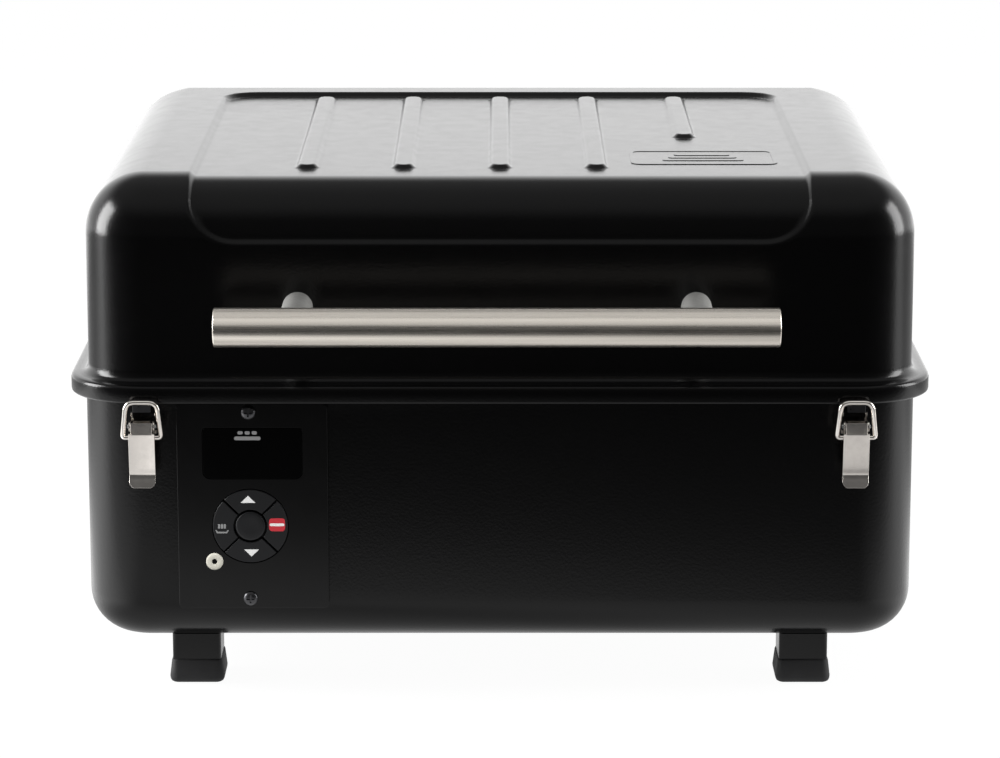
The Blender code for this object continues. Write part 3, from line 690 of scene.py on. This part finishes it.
def build_back():
    for label in ("left", "right"):
        keep(f"hinge_lid_leaf_{label}", "dark_metal", 0.25)
        keep(f"hinge_base_leaf_{label}", "dark_metal", 0.25)
        keep(f"hinge_pin_{label}", "steel", 0.3)
        x = middle(f"hinge_base_leaf_{label}", 0)
        wall = span(f"hinge_base_leaf_{label}", 1)[0] + 1.2
        heads = [turned("Y", (x + dx, 169), [(0.02, wall + 1.9), (1.6, wall + 1.8), (2.8, wall + 1.2),
                                             (3.3, wall + 0.2), (3.3, wall - 0.6)], 24) for dx in (-15, 15)]
        piece(f"hinge_rivets_{label}", together(*heads), "steel", "tub", sharp=50)
    keep("exhaust_vent", "black_coat", 0.5)
    keep("power_inlet", "plastic", 0.5)
    pins = [block((x - 1, x + 1), (414, 426), (z - 2, z + 2))
            for x, z in ((-160, 72.5), (-150, 72.5), (-155, 76.5))]
    piece("power_inlet_pins", together(*pins), "nickel", "tub", edge=0.3)


# ---------------------------------------------------------------- latches

def build_latches():
    for label in ("left", "right"):
        x = middle(f"latch_lever_{label}", 0)
        pivot = (middle(f"latch_pin_{label}", 1), middle(f"latch_pin_{label}", 2))
        bail_y, bail_z = pivot[0] - 1.5, pivot[1] - 6.8
        top_y, top_z = bail_y - 1.0, bail_z + 22.5
        wall = span(f"latch_base_{label}", 1)[1]
        # a narrow foot, and shoulders that carry the ears, with a notch between the ears
        plate_outline = [(x - 6, 152), (x + 6, 152), (x + 6, 170.5), (x + 7.9, 170.5), (x + 7.9, 184),
                         (x + 6.9, 184), (x + 6.4, 178.5), (x - 6.4, 178.5), (x - 6.9, 184),
                         (x - 7.9, 184), (x - 7.9, 170.5), (x - 6, 170.5)]
        plate = prism("Y", plate_outline, wall - 1.25, wall)
        ear = [(wall - 0.6, 172.5), (wall - 0.6, 182.5)] + arc(pivot, 3.6, 90, 270, 14)
        ears = [prism("X", ear, x + side * 7.45 - 0.45, x + side * 7.45 + 0.45) for side in (-1, 1)]
        rivets = [turned("Y", (x + dx, z), [(0.02, wall - 2.6), (1.3, wall - 2.5), (2.1, wall - 1.9),
                                            (2.3, wall - 1.2)], 20) for dx, z in ((0, 158), (0, 165))]
        piece(f"latch_plate_{label}", together(plate, *ears, *rivets), "nickel", "tub",
              [f"latch_base_{label}"], edge=0.18)
        keep(f"latch_pin_{label}", "steel", 0.2)
        piece(f"latch_lever_skin_{label}", lever_shape(x, pivot, (bail_y, bail_z)), "nickel",
              f"latch_lever_{label}", [f"latch_lever_{label}"], edge=0.2)
        path = [(x - 7.2, bail_y, bail_z), (x - 12.0, bail_y, bail_z), (x - 9.6, top_y, top_z)]
        path += [(2 * x - px, py, pz) for px, py, pz in reversed(path)]
        piece(f"latch_wire_{label}", rod(filleted(path, 5.5, 8), 1.5, 18), "nickel", f"latch_bail_{label}",
              [f"latch_bail_{label}"], sharp=60)
        top = LIP_BOTTOM - GAP
        hook = [(4.0, top), (-2.5, top), (-2.9, top + 0.3), (-2.9, 192.0), (-4.0, 192.0), (-4.0, 187.0),
                (-2.9, 187.0), (-2.9, top - 1.5), (-2.5, top - 1.1), (4.0, top - 1.1)]
        piece(f"latch_hook_{label}", prism("X", hook, x - 5.5, x + 5.5), "dark_metal", "lid",
              [f"latch_keeper_{label}"], edge=0.2)


def lever_shape(x, pivot, second):
    """A pressed lever: a blade with a bent-out tip, and two cheeks that carry the pivots."""
    back, thick = -8.0, 1.2
    lean = 3.6
    tip = back + lean
    tip_low, tip_round = 139.4, 3.2
    spine = [(back, 174.4), (back + lean * 0.24, 168), (back + lean * 0.53, 160), (back + lean * 0.82, 152),
             (tip, 147.6), (tip - 0.5, 145.6), (tip - 1.8, 142.8), (tip - 3.4, tip_low)]
    spine = [(point.x, point.y) for point in smooth_path([(y, z, 0) for y, z in spine], 4)]
    rows = []
    for index, (y, z) in enumerate(spine):
        after = spine[min(index + 1, len(spine) - 1)]
        before = spine[max(index - 1, 0)]
        dy, dz = after[0] - before[0], after[1] - before[1]
        length = hypot(dy, dz)
        normal = (dz / length, -dy / length)
        share = max(0.0, (z - tip_low) / tip_round)
        half = 8.1 - (2.6 * (1 - share) ** 2 if share < 1 else 0)
        front = (y + normal[0] * thick, z + normal[1] * thick)
        rows.append([(x - half, y, z), (x + half, y, z), (x + half, front[0], front[1]),
                     (x - half, front[0], front[1])])
    blade = loft(rows)
    cheek = [(back - thick + 0.05, 181.2), (back - thick + 0.05, 174.6), (back + 0.3 * lean, 167),
             (-4.6, 167)]
    cheek += arc(second, 3.1, -70, 0, 6) + arc(pivot, 3.4, 0, 90, 8)
    cheeks = [prism("X", cheek, x + side * 6.0 - 0.6, x + side * 6.0 + 0.6) for side in (-1, 1)]
    bridge = block((x - 6.5, x + 6.5), (back - thick, back), (173.5, 181.2))
    return together(blade, bridge, *cheeks)


# ---------------------------------------------------------------- tub, legs and feet

def build_tub():
    xs, ys = [-(HALF_W - RIM_CORNER), HALF_W - RIM_CORNER], [RIM_CORNER, RIM_DEPTH - RIM_CORNER]
    bottom, top = span("base_shell", 2)
    edge_r, edge_steps = 29.0, 12
    side = 1.6              # the side walls stand this much further out
    centre_inset, centre_z = WALL_INSET + edge_r, bottom + edge_r

    def rounding(radius, step):
        angle = radians(90 * step / edge_steps)
        return centre_inset - radius * sin(angle), centre_z - radius * cos(angle)

    # (inset, height): up the outside, over the flange and down the inside
    rows = [rounding(edge_r, step) for step in range(edge_steps + 1)]
    rows += [(WALL_INSET, 190.0), (10.7, 194.6), (9.6, 196.3), (8.0, 196.9), (4.0, 196.95), (3.3, 197.3),
             (3.2, 197.9), (3.5, 198.6), (4.2, top), (12.2, top), (WALL_INSET + SKIN, top - 0.6),
             (WALL_INSET + SKIN, 190.0)]
    rows += [rounding(edge_r - SKIN, step) for step in range(edge_steps, -1, -1)]
    flange = 3.2
    rings = [ring(inset, z, xs, ys, 16, side * soft((inset - flange) / (WALL_INSET - flange)))
             for inset, z in rows]
    tub = piece("tub_skin", loft(rings), "black_coat", "tub", ["base_shell"], sharp=50)
    # behind the controls, at the exhaust vent and at the power inlet
    tools = [cutter(tub, prism("Y", rounded((-191, 70), (-119, 180), 4), -5, 20)),
             cutter(tub, prism("Y", rounded((28, 145), (132, 175), 3), 415, 445)),
             cutter(tub, prism("Y", rounded((-176, 62), (-134, 86), 2), 415, 445))]
    fan_x, fan_y = middle("fan_housing", 0), middle("fan_housing", 1)
    for slot in range(-2, 3):
        x = fan_x + slot * 10
        tools.append(cutter(tub, prism("Z", rounded((x - 3, fan_y - 20), (x + 3, fan_y + 20), 2.9), 20, 40)))
    apply_all(tub, *tools)
    tub.data.set_sharp_from_angle(angle=radians(50))
    grate_low = span("cooking_grate", 2)[0]
    for label, wall, out in (("front", WALL_INSET + SKIN, 1), ("back", WALL_BACK - SKIN, -1)):
        web, shelf = wall + out * 1.6, wall + out * 19
        outline = [(wall, grate_low - 14), (web, grate_low - 14), (web, grate_low - 2.2),
                   (shelf, grate_low - 2.2), (shelf, grate_low - 0.6), (wall, grate_low - 0.6)]
        piece(f"grate_ledge_{label}", prism("X", outline, -80, 220), "steel", "tub", edge=0.3)


def build_feet():
    for row in ("front", "back"):
        for label in ("left", "right"):
            leg, foot = f"leg_{row}_{label}", f"foot_{row}_{label}"
            x, y = middle(foot, 0), middle(foot, 1)
            low, high = span(leg, 2)
            half, deep = half_span(leg, 0), half_span(leg, 1)
            outline = rounded((x - half, y - deep), (x + half, y + deep), 3.0, 6)
            piece(f"{leg}_skin", prism("Z", outline, low - 2, high), "black_coat", "tub", [leg], edge=0.5)
            half, deep = half_span(foot, 0), half_span(foot, 1)
            high = span(foot, 2)[1]
            # (inset, height) of a cap that draws in towards its top
            profile = [(4.2, 0.0), (2.2, 0.25), (0.9, 1.0), (0.2, 2.4), (0.0, 4.0), (0.5, 8.0),
                       (1.3, high - 1.4), (1.7, high - 0.5), (2.4, high)]
            rings = [[(px, py, z) for px, py in
                      rounded((x - half + inset, y - deep + inset), (x + half - inset, y + deep - inset),
                              max(5.5 - inset, 1.5), 6)] for inset, z in profile]
            piece(f"{foot}_skin", loft(rings), "rubber", "tub", [foot], sharp=60)


# ---------------------------------------------------------------- controls

def build_controls():
    x0, x1 = span("control_panel", 0)
    front, back = span("control_panel", 1)
    z0, z1 = span("control_panel", 2)
    ring_x, ring_z = middle("button_centre", 0), middle("button_centre", 2)
    outer_r = span("button_up", 2)[1] - ring_z
    bezel = piece("panel_bezel", prism("Y", rounded((x0, z0), (x1, z1), 3.0, 6), front, back), "panel", "tub",
                  ["control_panel"])
    sx, sz = span("display_lens", 0), span("display_lens", 2)
    lens_corners = (5, 5, 2, 2)
    window = rounded((sx[0] - GAP, sz[0] - GAP), (sx[1] + GAP, sz[1] + GAP), lens_corners, 6)
    tools = [cutter(bezel, prism("Y", window, 0, 20)),
             cutter(bezel, prism("Y", circle((ring_x, ring_z), outer_r + 0.6, 96), 0, 20))]
    apply_all(bezel, *tools)
    bezel.data.shade_smooth()
    bevel(bezel, 0.2, 2)
    lens_y = span("display_lens", 1)
    piece("display_glass", prism("Y", rounded((sx[0], sz[0]), (sx[1], sz[1]), lens_corners, 6), *lens_y),
          "screen", "tub", ["display_lens"], edge=0.12)
    # three dots over a bar: left, right, low and high, from the lens's upper left corner
    boxes = [(22.0 + 4.4 * n, 25.2 + 4.4 * n, 3.8, 1.6) for n in range(3)] + [(19.8, 36.2, 7.4, 5.0)]
    bars = [prism("Y", rounded((sx[0] + left, sz[1] - low), (sx[0] + right, sz[1] - high), 0.9, 4),
                  lens_y[0] - 0.05, lens_y[0] + 0.2) for left, right, low, high in boxes]
    piece("display_mark", together(*bars), "faint_print", "tub")
    build_buttons(ring_x, ring_z, outer_r)
    build_panel_metal(front)


def build_buttons(ring_x, ring_z, outer_r):
    """Four ring keys and a round one, each with crowned edges, and their printed marks."""
    face, back = span("button_up", 1)
    inner_r, groove = 10.6, 0.6
    out_angle, in_angle = (asin(groove / radius) * 180 / pi for radius in (outer_r, inner_r))
    for name, turn in (("right", 0), ("up", 90), ("left", 180), ("down", 270)):
        outline = arc((ring_x, ring_z), outer_r, turn - 45 + out_angle, turn + 45 - out_angle, 24)
        outline += arc((ring_x, ring_z), inner_r, turn + 45 - in_angle, turn - 45 + in_angle, 12)
        piece(f"key_{name}", prism("Y", outline, face, back), "button", f"button_{name}", [f"button_{name}"],
              edge=0.45)
    face_c = span("button_centre", 1)[0]
    radius = half_span("button_centre", 0)
    dome = [(0.02, face_c + 0.25), (radius * 0.5, face_c + 0.15), (radius - 1.4, face_c),
            (radius - 0.6, face_c + 0.15), (radius - 0.15, face_c + 0.6), (radius, face_c + 1.2),
            (radius, back)]
    piece("key_centre", turned("Y", (ring_x, ring_z), dome, 64), "button", "button_centre", ["button_centre"],
          sharp=50)
    mark = (face - 0.06, face + 0.15)
    reach = 17.3            # from the ring's centre to the middle of a mark
    for name, sign, shift in (("up", 1, -1.3), ("down", -1, 0.5)):
        x, z = ring_x + shift, ring_z + sign * reach
        triangle = [(x - 4.6, z - sign * 2.2), (x + 4.6, z - sign * 2.2), (x, z + sign * 2.4)]
        piece(f"mark_{name}", prism("Y", triangle, *mark), "white_print", f"button_{name}")
    x, z = ring_x - reach - 0.6, ring_z - 1.0
    tray = [(x - 4.2, z - 1.6), (x - 3.2, z - 3.6), (x + 3.2, z - 3.6), (x + 4.2, z - 1.6),
            (x + 3.3, z - 1.6), (x + 2.7, z - 2.6), (x - 2.7, z - 2.6), (x - 3.3, z - 1.6)]
    steam = [prism("Y", rounded((x + dx - 0.7, z - 0.6), (x + dx + 0.7, z + 2.4), 0.6, 4), *mark)
             for dx in (-1.8, 0, 1.8)]
    piece("mark_left", together(prism("Y", tray, *mark), *steam), "faint_print", "button_left")
    x, z = ring_x + reach - 0.6, ring_z + 0.9
    label = prism("Y", rounded((x - 5.0, z - 4.2), (x + 5.0, z + 4.2), 2.0, 5), *mark)
    piece("mark_right", label, "red_print", "button_right")
    bar = prism("Y", rounded((x - 4.6, z - 0.9), (x + 4.6, z + 0.9), 0.8, 4), mark[0] - 0.05, mark[1])
    piece("mark_right_bar", bar, "white_print", "button_right")


def build_panel_metal(front):
    x, z = middle("probe_jack", 0), middle("probe_jack", 2)
    radius = half_span("probe_jack", 0)
    face = span("probe_jack", 1)[0]
    profile = [(1.6, front + 3.5), (1.6, face + 0.7), (1.9, face + 0.2), (2.5, face), (radius - 1.2, face),
               (radius - 0.4, face + 0.25), (radius, face + 0.8), (radius, front)]
    piece("jack_collar", turned("Y", (x, z), profile, 64), "cream", "tub", ["probe_jack"],
          sharp=50)
    # a near-black disc just inside the jack's bore: painted shade standing in for the dark of the hole
    hole = turned("Y", (x, z), [(1.62, face + 0.5), (1.62, face + 0.52)], 32)
    piece("jack_hole_painted_shade", hole, "screen", "tub")
    for label in ("lower", "upper"):
        node = f"panel_screw_{label}"
        x, z = middle(node, 0), middle(node, 2)
        face = span(node, 1)[0]
        head = [(0.02, face + 0.05), (2.0, face + 0.2), (3.4, face + 0.8), (4.3, face + 1.6),
                (4.6, face + 2.3), (4.6, front)]
        screw = piece(f"{node}_head", turned("Y", (x, z), head, 40), "dark_metal", "tub", [node], sharp=50)
        cross = [rounded((x - a, z - b), (x + a, z + b), 0.3, 2) for a, b in ((2.6, 0.55), (0.55, 2.6))]
        tools = [cutter(screw, prism("Y", outline, face - 1, face + 1.5)) for outline in cross]
        apply_all(screw, *tools)
        screw.data.set_sharp_from_angle(angle=radians(40))
    keep("controller_housing", "plastic", 1.0)


# ---------------------------------------------------------------- inside

def build_inside():
    for node in ("hopper", "hopper_deck", "hopper_lid", "hopper_lid_pin", "partition_wall", "auger_tube",
                 "auger", "fire_pot", "igniter_rod", "heat_baffle", "drip_tray"):
        keep(node, "steel", 0.25)
    keep("auger_motor", "dark_metal", 0.8)
    keep("fan_housing", "plastic", 0.6)
    keep("fan_rotor", "plastic", 0.3)
    keep("cooking_grate", "iron", 1.6, 3)


# ---------------------------------------------------------------- stage, light and camera

PAPER_GLOW = 1.04           # just past white
CAMERA_PLACE = (0.0, -2345.4, 733.9)
CAMERA_LENS = 139.54
CAMERA_TILT = 12.652        # degrees below level


def build_camera():
    data = bpy.data.cameras.new("camera")
    data.lens = CAMERA_LENS
    data.sensor_width = 36.0
    camera = bpy.data.objects.new("camera", data)
    camera.location = world(CAMERA_PLACE)
    camera.rotation_euler = (radians(90 - CAMERA_TILT), 0.0, 0.0)
    bpy.context.scene.collection.objects.link(camera)
    bpy.context.scene.camera = camera


# How bright the floor looks in reflections, as (metres, level) from in front of the grill to behind
# it: first in line with the grill, then the extra light on its two sides.
FLOOR_GLOW = [(-1.6, 0.04), (-1.1, 0.05), (-0.85, 0.09), (-0.70, 0.12), (-0.58, 0.18), (-0.49, 0.36),
              (-0.42, 0.6), (-0.36, 0.76), (-0.27, 0.82), (-0.20, 0.6), (-0.10, 0.9), (0.1, 0.5),
              (0.9, 0.5), (1.3, 1.4), (1.8, 2.0)]
SIDE_GLOW = [(-0.62, 0.0), (-0.44, 0.35), (-0.33, 0.8), (-0.26, 1.6), (-0.16, 2.3), (-0.04, 2.3),
             (0.08, 1.5), (0.3, 0.3), (0.8, 0.0)]


def build_floor():
    """A pale studio floor. Reflections see it fade out away from the grill, as a dark studio would."""
    size = 12.0
    mesh = bpy.data.meshes.new("floor")
    corners = [(-size, -size, 0), (size, -size, 0), (size, size, 0), (-size, size, 0)]
    mesh.from_pydata(corners, [], [(0, 1, 2, 3)])
    floor = bpy.data.objects.new("floor", mesh)
    floor.location.z = -0.0002
    bpy.context.scene.collection.objects.link(floor)
    material = bpy.data.materials.new("floor")
    material.use_nodes = True
    material.node_tree.nodes.clear()
    nodes = Nodes(material.node_tree)

    place = nodes.split(nodes.node("ShaderNodeNewGeometry").outputs["Position"])
    clamp = nodes.node("ShaderNodeClamp", Min=-0.3, Max=0.3)
    nodes.link(place["X"], clamp.inputs["Value"])
    across = clamp.outputs["Result"]
    ahead = nodes.curve(nodes.math("MULTIPLY_ADD", across, -0.45, place["Y"]), FLOOR_GLOW)
    beside = nodes.spread(nodes.math("ABSOLUTE", place["X"]), 0.0, 1.0, 0.27, 0.4, "SMOOTHSTEP")
    sides = nodes.math("MULTIPLY", nodes.curve(place["Y"], SIDE_GLOW), beside)
    left_heavy = nodes.math("MULTIPLY_ADD", across, -0.7, 0.64)
    faded = nodes.node("ShaderNodeEmission")
    nodes.link(nodes.math("ADD", ahead, nodes.math("MULTIPLY", sides, left_heavy)), faded.inputs["Strength"])

    paper = nodes.node("ShaderNodeMixShader", Fac=0.93)
    nodes.link(nodes.node("ShaderNodeBsdfDiffuse", Color=(0.9, 0.9, 0.9, 1)).outputs[0], paper.inputs[1])
    nodes.link(nodes.node("ShaderNodeEmission", Strength=PAPER_GLOW).outputs[0], paper.inputs[2])
    nodes.finish("ShaderNodeOutputMaterial", faded.outputs[0], paper.outputs[0])
    mesh.materials.append(material)


def build_world():
    """The camera sees white paper behind the grill. Gloss sees a room, bright above and low behind."""
    studio = bpy.data.worlds.new("studio")
    studio.use_nodes = True
    bpy.context.scene.world = studio
    studio.node_tree.nodes.clear()
    nodes = Nodes(studio.node_tree)
    toward = nodes.split(nodes.node("ShaderNodeTexCoord").outputs["Generated"])
    low = nodes.spread(toward["Z"], 1.66, 0.0, 0.40, 0.78, "SMOOTHSTEP")
    behind = nodes.spread(toward["Y"], 0.0, 1.0, 0.0, 0.5, "SMOOTHSTEP")
    overhead = nodes.spread(toward["Z"], 0.09, 0.42, 0.5, 0.95, "SMOOTHSTEP")
    room = nodes.node("ShaderNodeBackground", Color=(1, 1, 1, 1))
    nodes.link(nodes.math("ADD", nodes.math("MULTIPLY", low, behind), overhead), room.inputs["Strength"])
    paper = nodes.node("ShaderNodeBackground", Color=(1, 1, 1, 1), Strength=PAPER_GLOW)
    nodes.finish("ShaderNodeOutputWorld", room.outputs[0], paper.outputs[0])


# Name, place, aim, size and watts of each lamp, and the pieces that it lights if not all of them.
LAMPS = [
    ("strip_left", (-1.75, -0.14, 0.75), (0, -0.14, 0.3), (0.75, 1.2), 54, ()),
    ("strip_right", (1.75, -0.08, 0.75), (0, -0.08, 0.3), (0.65, 1.2), 27, ()),
    ("metal_light", (0, -1.68, 1.70), (0, -0.24, 0.25), (3.0, 1.62), 9.0, ("handle_tube",)),
    ("above_light", (0, -0.15, 2.1), (0, -0.24, 0.25), (3.0, 1.3), 3.2, ("handle_tube",)),
    ("below_light", (0, -0.41, 0.02), (0, -0.25, 0.25), (1.8, 0.2), 0.42, ("handle_tube", "handle_post")),
    ("clasp_light", (0, -0.95, 1.9), (0, -0.2, 0.17), (3.0, 0.9), 5.2, ("latch_",)),
    ("low_light", (0.30, -0.46, 0.012), (0.30, -0.2, 0.16), (1.1, 0.16), 0.32, ("latch_lever", "latch_wire")),
    ("wire_light", (0, -0.80, 0.015), (0, -0.78, 0.3), (1.4, 0.6), 1.4, ("latch_wire",)),
    ("post_light_left", (-1.1, -0.65, 0.45), (0, -0.23, 0.25), (0.5, 0.5), 32, ("handle_post",)),
    ("post_light_right", (1.1, -0.65, 0.45), (0, -0.23, 0.25), (0.5, 0.5), 32, ("handle_post",)),
    ("ink_light", (0, -1.4, 1.4), (-0.15, -0.2, 0.12), (0.6, 0.6), 26,
     ("mark_", "display_mark", "jack_collar")),
]


def softbox(name, place, aim, size, power):
    data = bpy.data.lights.new(name, "AREA")
    data.shape = "RECTANGLE"
    data.size, data.size_y = size
    data.energy = power
    light = bpy.data.objects.new(name, data)
    light.location = place
    light.rotation_euler = (Vector(aim) - Vector(place)).to_track_quat("-Z", "Y").to_euler()
    bpy.context.scene.collection.objects.link(light)
    light.visible_camera = False
    return light


def build_lights():
    for *lamp, prefixes in LAMPS:
        light = softbox(*lamp)
        if prefixes:
            only_on(light, prefixes)


def only_on(light, prefixes):
    """Flag a light off from everything but a few pieces, as a photographer's card would."""
    chosen = bpy.data.collections.new(light.name)
    for obj in bpy.context.scene.objects:
        if obj.type == "MESH" and obj.name.startswith(prefixes) and not obj.hide_render:
            chosen.objects.link(obj)
    light.light_linking.receiver_collection = chosen


build_camera()
build_world()
build_floor()
build_lid()
build_handle()
build_back()
build_latches()
build_tub()
build_feet()
build_controls()
build_inside()
build_lights()
bpy.context.scene.view_settings.view_transform = "Standard"
